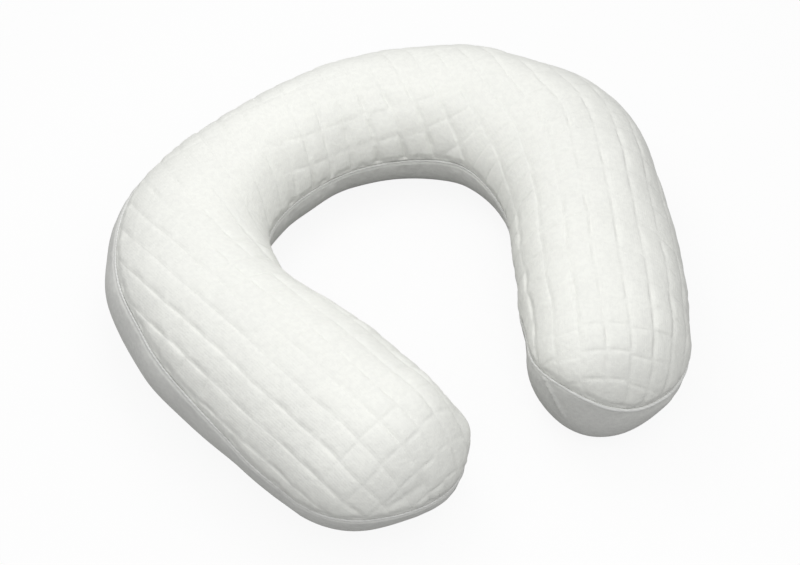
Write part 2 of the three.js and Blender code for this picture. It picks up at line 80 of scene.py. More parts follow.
# Swells are where the filling presses out or gives way: the share of the middle line, the width as a share
# of it, and how far the cover reaches out or in.
OUTSIDE_SWELLS = {
    "left arm": (0.24, 0.02, -1.4),
    "left side": (0.295, 0.04, 2.1),
    "left corner": (0.355, 0.035, 1.9),
    "left of the back": (0.436, 0.014, -1.8),
    "back": (0.493, 0.03, -2.2),
    "right of the back": (0.58, 0.035, -1.7),
    "right corner": (0.645, 0.035, -7.6),
    "right side": (0.72, 0.03, 3.9),
    "right arm": (0.81, 0.035, -2.5),
}
INSIDE_SWELLS = {
    "left fore arm": (0.138, 0.025, -1.6),
    "left corner": (0.335, 0.085, 4.4),
    "left of the back": (0.42, 0.06, -4.9),
    "right corner": (0.655, 0.06, 3.3),
    "right fore arm": (0.935, 0.03, 1.6),
}

# The widest level of the cushion rises a little from the back to the tips. The seam lies on it or above it,
# and inside the right arm it drops below it, between these shares of the middle line.
WIDEST_HEIGHT = 36
WIDEST_RISE = 0.04
WIDEST_MIDDLE_Y = -110
SEAM_DROP = {"depth": 7, "from": 0.66, "full": 0.78, "fade": 0.93, "to": 1.0}

# Fullness of the section: 2 is an ellipse, more is boxier. Inside the U it changes from the back to the arms,
# up to ARM_FROM of the way to the tips. The underside is pressed flat by FLATTENED.
UPPER_FULLNESS = 2.08
UNDER_FULLNESS = {"outside": 2.3, "inside": 2.4, "inside_back": 1.95}
ARM_FROM = 0.5
FLATTENED = 2.5
FLAT_SOFTNESS = 1.5

# Sewing at the seam: the panels turn in below the lip, round the welt. WELT_RADIUS counts in the middle of
# the whole form. What shows of the welt is thinner, in waves of a length and a share, and it stands out at
# one place.
LIP = 1.6
SEAM_ALLOWANCE = 2.1
SEAM_GAP = 0.3
WELT_RADIUS = 1.15
WELT_SHOWN = {"least": 0.5, "most": 0.8, "sunk": 0.6}
WELT_WAVES = [(41.0, 0.3), (17.0, 0.2)]
WELT_STANDS_OUT = {"at": (72, -222), "reach": 48, "radius": 0.4, "lift": 0.65, "fall": 4}

# The quilted grid: block size, the two kinds of groove and the tacks where they cross, in millimetres.
# A groove is sewn in dashes, each from least to least and more of its depth.
BLOCK_ACROSS = 12.3
BLOCK_ALONG = 13.45
LONG_GROOVE = {"depth": 0.55, "near_width": 0.55, "far_width": 1.7, "shoulder": 0.08, "shoulder_width": 2.4,
               "least": 0.3, "more": 1.2}
CROSS_GROOVE = {"depth": 0.34, "near_width": 0.6, "far_width": 0.6, "shoulder": 0.1, "shoulder_width": 1.8,
                "least": 0.3, "more": 1.1}
TACK = {"depth": 0.25, "width": 1.5}
SHALLOW_AT_CROSSING = 0.12
DASH_POWER = 1.1
BLOCK_STAGGER = 0.2
BLOCK_UNEVEN = 0.4
BLOCK_TILT = 0.7
BLOCK_FLATNESS = 4
BLOCK_HEIGHT = 1.1
BLOCK_PUFF = 0.16
LOW_EDGE = 6

# The grooves wander in slow waves: a share, a start, and the turns for each block along u and v.
GRID_WANDER = 0.02
LONG_WANDER = [(1, 0, (0.7, 1.3)), (0.6, 2, (-1.1, 2.9))]
CROSS_WANDER = [(1, 1, (1.1, -0.8)), (0.6, 0, (2.3, 1.7))]

# What is scattered over the blocks has a seed of its own, and large uneven steps that leave no pattern.
SEEDS = {"long": 1, "cross": 2, "lift": 3, "tilt_u": 4, "tilt_v": 5, "stagger": 6}
SCATTER_STEPS = (127.1, 311.7, 74.7)
SCATTER_SPREAD = 43758.5453

# How the quilting differs round the U. A region has its share of the middle line, its width and its side,
# and then what it adds to the long grooves, the cross grooves, the tacks and the puff of the blocks.
# A region of one side counts only there, from the crown down between SIDE_FROM and SIDE_TO.
QUILT_KINDS = ("long", "cross", "tack", "puff")
QUILT_REGIONS = {
    "left tip": (0.0, 0.09, "both", 0.1, 0.1, 0.2, 0.1),
    "left arm": (0.22, 0.12, "both", 0.1, 0.15, -0.2, -0.06),
    "left arm inside": (0.18, 0.12, "inside", 0.0, 0.4, 0.0, 0.06),
    "left corner": (0.37, 0.075, "both", -0.3, -0.4, -0.3, 0.0),
    "left corner inside": (0.37, 0.06, "inside", -0.6, -0.6, -0.6, -0.12),
    "back": (0.54, 0.09, "both", -0.15, -0.5, 0.9, 0.0),
    "back inside": (0.52, 0.085, "inside", 1.3, -0.1, 1.2, 0.22),
    "right corner": (0.66, 0.05, "both", 0.1, -0.2, -0.3, 0.0),
    "right arm": (0.82, 0.12, "both", 0.8, 0.8, 0.0, -0.06),
    "right arm outside": (0.82, 0.14, "outside", -1.0, -0.4, -0.2, -0.04),
    "right arm inside": (0.78, 0.14, "inside", -1.1, -0.4, -0.3, 0.0),
    "right tip": (1.0, 0.12, "both", 0.3, 0.0, 0.2, 0.0),
}
SIDE_FROM = 8
SIDE_TO = 30

# Places where the filling stands out or gives way, with their width and height, and folds of the cloth.
FILL_LUMPS = {
    "dent inside the left tip": ((-27, -195, 52), 8, -3.2),
    "bulge inside the left tip": ((-23, -212, 42), 10, 2.8),
    "outer front of the right tip": ((80, -234, 36), 14, 1.6),
}
TIP_FOLD = {"points": [(-74, -236, 50), (-66, -236.5, 51.5), (-58, -235, 53)],
            "width": 2.2, "height": -0.7}
CLOSING_SEAMS = [
    {"points": [(23.2, -205, 44.5), (24.3, -211.5, 39.6), (25.5, -214.9, 34.6), (28, -220, 25)],
     "width": 0.9, "height": 1.3},
    {"points": [(-22.5, -206, 32.5), (-24.7, -213.8, 23.6), (-28.3, -216.6, 17.6), (-33, -219.5, 9)],
     "width": 1.0, "height": 0.9},
]

# The grid runs straight at the back and leans in with each arm, and its rows turn across the arms.
# The groove of number line follows the middle of the arm; spacing is between grooves, measured along x.
LEFT_GRID = {"side": -1, "axis": 124.6, "line": 10, "spacing": 13.0, "lean_from": -20, "lean": 0.36,
             "row_tilt": 0.375, "row_shift": 0.62, "row_slip": 0, "row_arch": 0}
RIGHT_GRID = {"side": 1, "axis": 105, "line": 8, "spacing": 13.4, "lean_from": -70, "lean": 0.49,
              "row_tilt": 0.64, "row_shift": 0.2, "row_slip": 0.5, "row_arch": 9}
ROW_TURN_FROM = -30
ROW_TURN_SOFTNESS = 90
ROW_SLIP_Y = -195
ROW_SLIP_WIDTH = 28
ROW_ARCH_HALF_WIDTH = 45
LEAN_SOFTNESS = 30
STRAIGHT_HALF_WIDTH = 25
STRAIGHT_FROM_Y = -110
STRAIGHT_TO_Y = -60

# Inside the U the flat cloth is eased in towards this reach.
EASED_REACH = 58
EASING_POWER = 4

# Cloth drawn up by the sewing: waves of a length and a start beside the seam, which drift along it.
PUCKER = {"height": 0.815, "reach": 4.5, "clear": 2, "back_more": 1.4, "back_width": 0.12,
          "drift": 3, "drifts": 5}
PUCKER_WAVES = [(8.7, 0.4), (13.1, 2.1), (21.7, 4.0)]

# Slow swells over the filling: a share, a start, and the turns along x, y and z for each UNEVEN_LENGTH.
UNEVEN_FILL = 0.55
UNEVEN_LENGTH = 78
UNEVEN_WAVES = [(0.5, 0.5, (1, 0.8, 0)), (0.5, 2, (-0.7, 1.3, 1.1)), (0.35, 4, (2.1, 1.7, 0))]

# The underside stays flat up to UNDER_FLAT. Above it the closing seams and then the filling come up in full.
UNDER_FLAT = 2
CLOSING_SEAM_FULL = 8
UNDER_FILL_FULL = 12

# Cloth filled from inside: held at the seam and, more softly, along the sewing. Its lift is capped, and the
# usual lift is a percentile. Blocks are small and the sheet is fine, so the pressure is high.
CLOTH_STEP = 3
CLOTH_PRESSURE = 2500
CLOTH_STIFFNESS = 1
CLOTH_BENDING = 0.05
CLOTH_FRAMES = 20
CLOTH_CAP = 1.6
CLOTH_SOFTEN = 3
CLOTH_DIGITS = 2
HELD_ALONG = 0.95
HELD_ACROSS = 0.6
HELD_HALF_WIDTH = 1.1
HELD_LEVELS = 20
USUAL_LIFT = 75

# Mesh steps: rows run along the U, columns from the crown to the seam.
BODY_ROWS = 760
TIP_ROWS = 70
TOP_COLUMNS = 96
UNDER_COLUMNS = 52
FINE_STEPS = 120
FINE_SHARES = 2001
WELT_SIDES = 10
WELDED = 0.02

# The cloths: roughness and sheen, the pale and the deep tone, and the size of a stitch in millimetres.
QUILTED_KNIT = {"name": "quilted_white_knit", "roughness": 0.88, "sheen": 0.05, "stitch": (1.25, 1.0),
                "pale": (0.905, 0.912, 0.868), "deep": (0.84, 0.845, 0.81)}
# The plain cloth's tones are made darker than the quilted cloth's, as painted shade for the underside, which
# the lamps reach less.
PLAIN_KNIT = {"name": "plain_white_knit", "roughness": 0.9, "sheen": 0.05, "stitch": (0.9, 0.75),
              "pale": (0.82, 0.825, 0.795), "deep": (0.74, 0.743, 0.72)}
# The welt's tones are set lighter than the quilted cloth's, partly as a painted highlight along the seam
# line.
WELT_CLOTH = {"name": "white_welt", "roughness": 0.75, "sheen": 0.1,
              "pale": (0.92, 0.925, 0.905), "deep": (0.82, 0.825, 0.805)}
ROUGHNESS_SPREAD = 0.12
SHEEN_ROUGHNESS = 0.6
SPECULAR = 0.25

# How high stitches, lint and creases stand in millimetres, and the grain and detail of what is scattered.
STITCH_HEIGHT = 0.035
STITCH_HOLLOW = 0.25
LINT_HEIGHT = 0.32
LINT_GRAIN = 420
LINT_DETAIL = 4
CLOUD_GRAIN = 45
CLOUD_DETAIL = 2
CREASE_DEPTH = 0.04
CREASE_HALF_WIDTH = 0.9
CROSS_CREASE = 0.5
WRAP_GRAIN = 260
WRAP_DISTORTION = 2

# Painted shade: how much deeper the colour is made between the stitches and in the creases, where shade falls
# in these hollows. The ramps run from a low to a high value, and give the result at each.
GAP_PAINTED_SHADE = 0.1
CREASE_PAINTED_SHADE = 0.05
CLOUD_TONE = (0.3, 0.7, 0, 0.25)
LINT_TONE = (0.35, 0.65, 0.5, 0)
CREASE_BREAKS = (0.35, 0.6, 0.25, 1)

# The studio: a lamp over the back and one over the front, light from all round that is stronger from above,
# how much of it the floor throws back, and how much of the floor's shadow shows.
KEY_PLACE = (-20, 0, 360)
KEY_POWER = 1.08
FRONT_PLACE = (-50, -300, 320)
FRONT_POWER = 0.57
LAMP_RADIUS = 0.09
WORLD_LIGHT = 0.5
WORLD_LIGHT_UP = 0.32
FLOOR_RADIUS = 4
FLOOR_SIDES = 96
FLOOR_BOUNCE = 0.3
FLOOR_WHITE = 0.97
FLOOR_SHADOW = 0.1

# The camera stands over the open end, to the left, as in the photograph.
CAMERA_AZIMUTH = -26
CAMERA_ELEVATION = 52.8
CAMERA_DISTANCE = 594
CAMERA_TARGET = (-12.3, -121, 40)
CAMERA_LENS = 52.3
SENSOR_WIDTH = 36
NEAREST_SEEN = 0.01


# Small helpers

def smoothstep(value, low, high):
    share = np.clip((value - low) / (high - low), 0, 1)
    return share * share * (3 - 2 * share)


def lerp(first, second, share):
    return first + (second - first) * share


def scatter(i, j, seed):
    """An even number from 0 to 1 for each pair of whole numbers."""
    mixed = np.sin(i * SCATTER_STEPS[0] + j * SCATTER_STEPS[1] + seed * SCATTER_STEPS[2]) * SCATTER_SPREAD
    return mixed - np.floor(mixed)


def waves(rows, *places):
    """A sum of waves. Each row has its share, its start and its turns for each of the places."""
    return sum(share * np.sin(start + sum(turn * place for turn, place in zip(turns, places)))
               for share, start, turns in rows)


def run_along(points):
    """Running length along a line of points."""
    return np.concatenate([[0], np.cumsum(np.linalg.norm(np.diff(points, axis=0), axis=1))])


def deselect_all():
    if bpy.context.object and bpy.context.object.mode != "OBJECT":
        bpy.ops.object.mode_set(mode="OBJECT")
    bpy.ops.object.select_all(action="DESELECT")


# Middle line and half sections

def follow(knots, t):
    """Points and directions at the shares t of the smooth curve through the knots."""
    ends = np.vstack([2 * knots[0] - knots[1], knots, 2 * knots[-1] - knots[-2]])
    spans = len(knots) - 1
    i = np.minimum((t * spans).astype(int), spans - 1)
    s = (t * spans - i)[:, None]
    a, b = ends[i + 1], ends[i + 2]
    leave, arrive = (b - ends[i]) / 2, (ends[i + 3] - a) / 2
    bend = 3 * (b - a) - 2 * leave - arrive
    twist = 2 * (a - b) + leave + arrive
    points = a + s * (leave + s * (bend + s * twist))
    slopes = leave + s * (2 * bend + 3 * s * twist)
    return points, slopes


def stations_at(t):
    """The middle line at the shares t: its places, its directions along and out of the U, and its girth."""
    values, slopes = follow(np.array(list(STATIONS.values()), float), t)
    outer, inner, crown, seam_up = values[:, 2:].T
    along = slopes[:, :2] / np.linalg.norm(slopes[:, :2], axis=1)[:, None]
    out = np.column_stack([-along[:, 1], along[:, 0]])
    return SimpleNamespace(t=t, centre=values[:, :2], along=along, out=out, outer=outer, inner=inner,
                           crown=crown, seam_up=np.maximum(0, seam_up), near_tip=np.abs(2 * t - 1))


def widest_height(y):
    return WIDEST_HEIGHT - WIDEST_RISE * (y - WIDEST_MIDDLE_Y)


def spread_out(t, spread):
    """Directions out of the U, turning more slowly than the middle line."""
    width = np.minimum(spread, np.minimum(t, 1 - t))
    steps = np.linspace(-1, 1, 2 * SPREAD_STEPS + 1)
    total = sum(stations_at(t + width * step).out for step in steps)
    return total / np.linalg.norm(total, axis=1)[:, None]


def make_rays(station, aim, reach, fullness, ease, rise=0.0, seam_up=0.0):
    """Half sections from the middle line outwards. ease is 1 inside the U, where the cloth is eased in."""
    ones = np.ones(len(reach))
    widest = widest_height(station.centre[:, 1] + aim[:, 1] * reach) + rise
    return SimpleNamespace(t=station.t, centre=station.centre, aim=aim, reach=reach, crown=station.crown,
                           widest=widest, seam_up=seam_up * ones, fullness=fullness * ones, ease=ease * ones)


def swelling(t, swells):
    """How far the filling presses out at the shares t, or gives way."""
    return sum(reach * np.exp(-((t - share) / width) ** 2) for share, width, reach in swells.values())


def outside_rays(t):
    station = stations_at(t)
    reach = station.outer + swelling(t, OUTSIDE_SWELLS)
    return make_rays(station, spread_out(t, OUTSIDE_SPREAD), reach, UNDER_FULLNESS["outside"], ease=0.0,
                     seam_up=station.seam_up)


def inside_rays(t):
    station = stations_at(t)
    to_arm = np.minimum(1, station.near_tip / ARM_FROM)
    fullness = lerp(UNDER_FULLNESS["inside_back"], UNDER_FULLNESS["inside"], to_arm)
    reach = station.inner + swelling(t, INSIDE_SWELLS)
    drop = smoothstep(t, SEAM_DROP["from"], SEAM_DROP["full"])
    drop *= smoothstep(t, SEAM_DROP["to"], SEAM_DROP["fade"])
    return make_rays(station, -spread_out(t, INSIDE_SPREAD), reach, fullness, ease=1.0,
                     seam_up=-SEAM_DROP["depth"] * drop)


def tip_rays(end, turn):
    """Half sections of a rounded end.

    turn is 0 at the outside, a half at the foremost point and 1 at the inside.
    """
    station = stations_at(np.full(len(turn), float(end)))
    forward = station.along * (1 if end else -1)
    tip = TIPS["right" if end else "left"]
    square = tip["squareness"]
    across, ahead = np.cos(math.pi * turn), np.sin(math.pi * turn)
    to_inside = -np.sin(2 * math.pi * turn)
    side = np.where(across >= 0, station.outer, station.inner)
    total = np.abs(across / side) ** square + np.abs(ahead / tip["length"]) ** square
    reach = total ** (-1 / square) * (1 + tip["skew"] * to_inside)
    aim = station.out * across[:, None] + forward * ahead[:, None]
    side_fullness = np.where(across >= 0, UNDER_FULLNESS["outside"], UNDER_FULLNESS["inside"])
    fullness = lerp(side_fullness, tip["fullness"], ahead ** 2) + tip["under_skew"] * to_inside
    way_round = np.clip((turn - tip["rise_from"]) / (1 - tip["rise_from"]), 0, 1)
    rise = tip["rise"] * np.sin(math.pi * way_round) ** 2
    seam_up = station.seam_up * np.maximum(0, across) ** 2
    ease = np.where(across >= 0, 0, across ** 2)
    return make_rays(station, aim, reach, fullness, ease, rise, seam_up)


def even_shares(count):
    """Shares of the middle line at even steps of its length."""
    fine = np.linspace(0, 1, FINE_SHARES)
    run = run_along(stations_at(fine).centre)
    return np.interp(np.linspace(0, run[-1], count), run, fine)


def side_rays(inside):
    """One ray for each row, from the foremost point of the left tip to that of the right tip."""
    turns = np.linspace(0.5, 0, TIP_ROWS, endpoint=False)
    if inside:
        turns = 1 - turns
    shares = even_shares(BODY_ROWS)
    body = inside_rays(shares) if inside else outside_rays(shares)
    parts = [vars(part) for part in (tip_rays(0, turns), body, tip_rays(1, turns[::-1]))]
    return SimpleNamespace(**{name: np.concatenate([part[name] for part in parts]) for name in parts[0]})


def rim_places(rays):
    """The outermost place in plan of each ray."""
    return rays.centre + rays.aim * rays.reach[:, None]


# Sections of the two panels

def full_section(rays):
    """Each half section from the crown, past the widest level, to the middle of the base, and its seam."""
    turn = np.linspace(0, math.pi / 2, FINE_STEPS)
    reach, widest, crown = rays.reach[:, None], rays.widest[:, None], rays.crown[:, None]
    upper_power, under_power = 2 / UPPER_FULLNESS, 2 / rays.fullness[:, None]
    offset = np.hstack([reach * np.sin(turn) ** upper_power, reach * np.cos(turn[1:]) ** under_power])
    height = np.hstack([widest + (crown - widest) * np.cos(turn) ** upper_power,
                        widest - (widest + FLATTENED) * np.sin(turn[1:]) ** under_power])
    lowest = (np.hypot(FLATTENED, FLAT_SOFTNESS) - FLATTENED) / 2
    height = np.maximum((height + np.hypot(height, FLAT_SOFTNESS)) / 2 - lowest, 0)
    steps = np.hypot(np.diff(offset, axis=1), np.diff(height, axis=1))
    run = np.concatenate([np.zeros((len(reach), 1)), np.cumsum(steps, axis=1)], axis=1)
    level = rays.widest + rays.seam_up
    seam_run = np.array([np.interp(-z, -h, r) for z, h, r in zip(level, height, run)])
    return SimpleNamespace(offset=offset, height=height, run=run, seam_run=seam_run)


def section_at(full, at):
    """Points of each half section at these lengths from the crown, with the outward normals in its plane."""
    offset = np.array([np.interp(a, r, o) for a, r, o in zip(at, full.run, full.offset)])
    height = np.array([np.interp(a, r, h) for a, r, h in zip(at, full.run, full.height)])
    step = np.gradient(at, axis=1)
    across, fall = np.gradient(offset, axis=1) / step, np.gradient(height, axis=1) / step
    size = np.hypot(across, fall)
    return SimpleNamespace(offset=offset, height=height, out=-fall / size, up=across / size)


def upper_section(rays, shares):
    """From the crown, share 0, to the lip over the seam, share 1."""
    full = full_section(rays)
    length = full.seam_run - LIP
    section = section_at(full, length[:, None] * shares)
    section.length = length
    return section


def under_section(rays, shares):
    """From the middle of the base, share 0, to the lip under the seam, share 1."""
    full = full_section(rays)
    length = full.run[:, -1] - full.seam_run - LIP
    section = section_at(full, full.run[:, -1:] - length[:, None] * shares)
    section.length = length
    return section


def seam_places(rays):
    """Where the seam lies in each half section, and the outward direction there."""
    full = full_section(rays)
    section = section_at(full, full.seam_run[:, None] + np.array([-LIP, 0, LIP]) / 2)
    return SimpleNamespace(offset=section.offset[:, 1], height=section.height[:, 1],
                           out=section.out[:, 1], up=section.up[:, 1])


# The upper panel laid flat, and the quilted grid on it

def arm_turn(grid, x, y):
    """How far the grooves of an arm have moved in, and how much they and the rows have turned, from 0 to 1.

    x is counted outwards, and the middle of the back stays straight.
    """
    past = np.maximum(0, grid["lean_from"] - y)
    straight = smoothstep(y, STRAIGHT_FROM_Y, STRAIGHT_TO_Y) / (1 + (x / STRAIGHT_HALF_WIDTH) ** 2)
    turned = past / (past + LEAN_SOFTNESS) * (1 - straight)
    past_rows = np.maximum(0, ROW_TURN_FROM - y)
    rows_turned = past_rows ** 2 / (past_rows ** 2 + ROW_TURN_SOFTNESS ** 2) * (1 - straight)
    return grid["lean"] * past * turned, turned, rows_turned


def arm_grid_numbers(grid, place_x, y):
    x = grid["side"] * place_x
    lean, turned, rows_turned = arm_turn(grid, x, y)
    axis_lean, _, _ = arm_turn(grid, grid["axis"], y)
    spacing = lerp(grid["axis"] / grid["line"], grid["spacing"], turned)
    u = grid["side"] * (grid["line"] + (x + lean - grid["axis"]) / spacing)
    tilted = grid["row_tilt"] * rows_turned * (x + axis_lean - grid["axis"])
    slip = grid["row_slip"] * np.exp(-((y - ROW_SLIP_Y) / ROW_SLIP_WIDTH) ** 2)
    arch = grid["row_arch"] * (1 - np.exp(-(x / ROW_ARCH_HALF_WIDTH) ** 2))
    arch *= smoothstep(y, STRAIGHT_FROM_Y, STRAIGHT_TO_Y)
    v = (y + tilted + arch) / BLOCK_ALONG + grid["row_shift"] * turned + slip
    return u, v


def flat_places(rays, section, shares):
    """The upper panel laid flat: true lengths from the crown, eased in towards the seam inside the U."""
    run = section.length[:, None] * shares
    flat = run / (1 + rays.ease[:, None] * (run / EASED_REACH) ** EASING_POWER) ** (1 / EASING_POWER)
    return rays.centre[:, None, :] + rays.aim[:, None, :] * flat[..., None]


def grid_numbers(rays, section, shares):
    """The quilted grid at each point of the upper panel: whole numbers of u and v are the grooves."""
    place = flat_places(rays, section, shares)
    left_u, left_v = arm_grid_numbers(LEFT_GRID, place[..., 0], place[..., 1])
    right_u, right_v = arm_grid_numbers(RIGHT_GRID, place[..., 0], place[..., 1])
    is_left = (rays.t < MIDDLE_SHARE)[:, None]
    u, v = np.where(is_left, left_u, right_u), np.where(is_left, left_v, right_v)
    return u + GRID_WANDER * waves(LONG_WANDER, u, v), v + GRID_WANDER * waves(CROSS_WANDER, u, v)


def groove(distance, kind):
    """A narrow valley with rounded shoulders, as a depth. Its near wall may be steeper than its far one."""
    width = np.where(distance < 0, kind["near_width"], kind["far_width"])
    valley = kind["depth"] * np.exp(-(distance / width) ** 2)
    return valley + kind["shoulder"] * np.exp(-(distance / kind["shoulder_width"]) ** 2)


def quilt_strength(kind, start, rays, from_crown, inside):
    """How strong one kind of quilting is at each point, round the U."""
    down = smoothstep(from_crown, SIDE_FROM, SIDE_TO)
    shown = {"both": 1, "inside": down * inside, "outside": down * (not inside)}
    strength = np.full_like(from_crown, start)
    for share, width, side, *added in QUILT_REGIONS.values():
        near = np.exp(-((rays.t[:, None] - share) / width) ** 2)
        strength += added[QUILT_KINDS.index(kind)] * near * shown[side]
    return np.maximum(strength, 0)


def sewn_dashes(distance, kind, along, uneven):
    """Depth of one set of sewing lines, in dashes from crossing to crossing.

    along is the share of the way between two crossings, and uneven is a number from 0 to 1 for each dash.
    """
    depth = groove(distance, kind) * (kind["least"] + kind["more"] * uneven)
    return depth * lerp(SHALLOW_AT_CROSSING, 1, np.sin(math.pi * along) ** DASH_POWER)


def block_top(block_u, block_v, in_u, in_v, puffed):
    """How much higher or lower each block lies and how it tilts, fading out at the sewing lines."""
    lift = BLOCK_UNEVEN * (scatter(block_u, block_v, SEEDS["lift"]) - 0.5)
    tilt = BLOCK_TILT * ((scatter(block_u, block_v, SEEDS["tilt_u"]) - 0.5) * (in_u - 0.5)
                         + (scatter(block_u, block_v, SEEDS["tilt_v"]) - 0.5) * (in_v - 0.5))
    window = (1 - (2 * in_u - 1) ** BLOCK_FLATNESS) * (1 - (2 * in_v - 1) ** BLOCK_FLATNESS)
    return (lift + tilt * (1 + puffed)) * window


def quilt_relief(u, v, rays, from_crown, inside, filled):
    """Height of the quilting over the filled form. filled is how far the cloth of the blocks is blown up."""
    def strength(kind, start=1.0):
        return quilt_strength(kind, start, rays, from_crown, inside)

    block_u = np.floor(u)
    v = v + BLOCK_STAGGER * (scatter(block_u, np.zeros_like(u), SEEDS["stagger"]) - 0.5)
    block_v = np.floor(v)
    in_u, in_v = u - block_u, v - block_v
    long_line, cross_line = np.round(u), np.round(v)
    from_long, from_cross = (u - long_line) * BLOCK_ACROSS, (v - cross_line) * BLOCK_ALONG
    long_depth = sewn_dashes(from_long, LONG_GROOVE, in_v, scatter(long_line, block_v, SEEDS["long"]))
    cross_depth = sewn_dashes(from_cross, CROSS_GROOVE, in_u, scatter(block_u, cross_line, SEEDS["cross"]))
    sewn = np.hypot(long_depth * strength("long"), cross_depth * strength("cross"))
    tack = TACK["depth"] * np.exp(-(from_long ** 2 + from_cross ** 2) / TACK["width"] ** 2)
    puff = strength("puff", BLOCK_PUFF) * filled
    top = BLOCK_HEIGHT + block_top(block_u, block_v, in_u, in_v, puff) + puff
    return top - sewn - tack * strength("tack")


# Unevenness of the sewn and filled cloth

def share_of_loop(inside):
    """How far round the seam each ray of one side is, in turns of the closed loop, and the loop's length."""
    outer_run, inner_run = (run_along(rim_places(side_rays(side))) for side in (False, True))
    length = outer_run[-1] + inner_run[-1]
    return (length - inner_run if inside else outer_run) / length, length


def seam_puckers(rays, inside, from_seam):
    """Short waves beside the seam, stronger inside the U where the cloth is eased in."""
    share, loop = share_of_loop(inside)
    turns = 2 * math.pi * share
    drift = PUCKER["drift"] * np.sin(PUCKER["drifts"] * turns)
    drawn_up = sum(np.sin(round(loop / length) * turns + start + drift) for length, start in PUCKER_WAVES)
    at_back = np.exp(-((rays.t - MIDDLE_SHARE) / PUCKER["back_width"]) ** 2)
    height = PUCKER["height"] * (1 + PUCKER["back_more"] * at_back * rays.ease)
    fade = np.exp(-from_seam / PUCKER["reach"]) * smoothstep(from_seam, 0, PUCKER["clear"])
    return (height * drawn_up / len(PUCKER_WAVES))[:, None] * fade


def uneven_fill(points):
    """Slow swells of the filling."""
    turned = points * (2 * math.pi / UNEVEN_LENGTH)
    return UNEVEN_FILL * waves(UNEVEN_WAVES, turned[..., 0], turned[..., 1], turned[..., 2])


def lumps(points):
    """Single places where the filling stands out or gives way."""
    return sum(height * np.exp(-((points - at) ** 2).sum(axis=-1) / width ** 2)
               for at, width, height in FILL_LUMPS.values())


def fold(points, line):
    """A ridge or crease along a short line of points."""
    corners = np.array(line["points"], float)
    nearest = np.full(points.shape[:-1], np.inf)
    for start, end in zip(corners[:-1], corners[1:]):
        along = end - start
        share = np.clip(((points - start) @ along) / (along @ along), 0, 1)
        nearest = np.minimum(nearest, np.linalg.norm(points - start - share[..., None] * along, axis=-1))
    return line["height"] * np.exp(-(nearest / line["width"]) ** 2)


# Points on the form, and their place in the frame

def points_on(rays, offset, height):
    plan = rays.centre[:, None, :] + rays.aim[:, None, :] * offset[..., None]
    return np.concatenate([plan, height[..., None]], axis=2)


def normals_on(rays, section):
    plan = rays.aim[:, None, :] * section.out[..., None]
    return np.concatenate([plan, section.up[..., None]], axis=2)


def turned_edge(rays, upper):
    """The edge that a panel turns in to, behind the welt."""
    seam = seam_places(rays)
    offset = seam.offset - SEAM_ALLOWANCE * seam.out
    height = seam.height - SEAM_ALLOWANCE * seam.up + (SEAM_GAP if upper else -SEAM_GAP) / 2
    return points_on(rays, offset[:, None], height[:, None])


def both_halves(outer, inner):
    """Two halves as one sheet, from the outside, over the middle, to the inside."""
    return np.concatenate([outer[:, ::-1], inner[:, 1:]], axis=1)


def to_frame(points):
    """Millimetres of the form to metres of the frame, whose origin is the middle of the pillow's box."""
    return (points - np.array([*FORM_MIDDLE, 0])) * MM


def form_middle():
    """The middle in plan of all that the cushion and its welt reach."""
    rims = []
    for rays in (side_rays(False), side_rays(True)):
        reach = np.maximum(rays.reach, seam_places(rays).offset + WELT_RADIUS)
        rims.append(rays.centre + rays.aim * reach[:, None])
    rim = np.concatenate(rims)
    return (rim.min(axis=0) + rim.max(axis=0)) / 2


FORM_MIDDLE = form_middle()


def upper_cloth(inside):
    """One half of the quilted panel before its relief: its rays, shares, section and grid numbers."""
    rays = side_rays(inside)
    shares = np.linspace(0, 1, TOP_COLUMNS)
    section = upper_section(rays, shares)
    return rays, shares, section, *grid_numbers(rays, section, shares)


# The cloth of the blocks, filled from inside

def coarse_steps(count):
    """Every few steps of a count, with the last one."""
    return np.unique(np.append(np.arange(0, count, CLOTH_STEP), count - 1))


def held_cloth(inside):
    """One half of the sheet to fill: its points, its outward directions and how firmly each is held."""
    rays, _, section, u, v = upper_cloth(inside)
    on_long = np.abs(u - np.round(u)) * BLOCK_ACROSS < HELD_HALF_WIDTH
    on_cross = np.abs(v - np.round(v)) * BLOCK_ALONG < HELD_HALF_WIDTH
    held = np.maximum(HELD_ALONG * on_long, HELD_ACROSS * on_cross)
    held[:, -1] = 1
    picked = np.ix_(coarse_steps(len(rays.t)), coarse_steps(TOP_COLUMNS))
    points = points_on(rays, section.offset, section.height)
    return points[picked], normals_on(rays, section)[picked], held[picked]


def hold(cloth, weights):
    """A vertex group with the weights, in a few levels."""
    group = cloth.vertex_groups.new(name="held")
    levels = np.round(weights * HELD_LEVELS).astype(int)
    for level in range(1, HELD_LEVELS + 1):
        group.add(np.flatnonzero(levels == level).tolist(), level / HELD_LEVELS, "REPLACE")


def blow_up(cloth):
    """Lets the cloth fill under pressure, without gravity, and leaves the result in its mesh."""
    filling = cloth.modifiers.new("filling", "CLOTH")
    settings = filling.settings
    settings.vertex_group_mass = "held"
    settings.tension_stiffness = CLOTH_STIFFNESS
    settings.compression_stiffness = CLOTH_STIFFNESS
    settings.bending_stiffness = CLOTH_BENDING
    settings.use_pressure = True
    settings.uniform_pressure_force = CLOTH_PRESSURE
    settings.effector_weights.gravity = 0
    for step in range(1, CLOTH_FRAMES + 1):
        bpy.context.scene.frame_set(step)
    deselect_all()
    bpy.context.view_layer.objects.active = cloth
    cloth.select_set(True)
    bpy.ops.object.modifier_apply(modifier="filling")
    bpy.context.scene.frame_set(1)


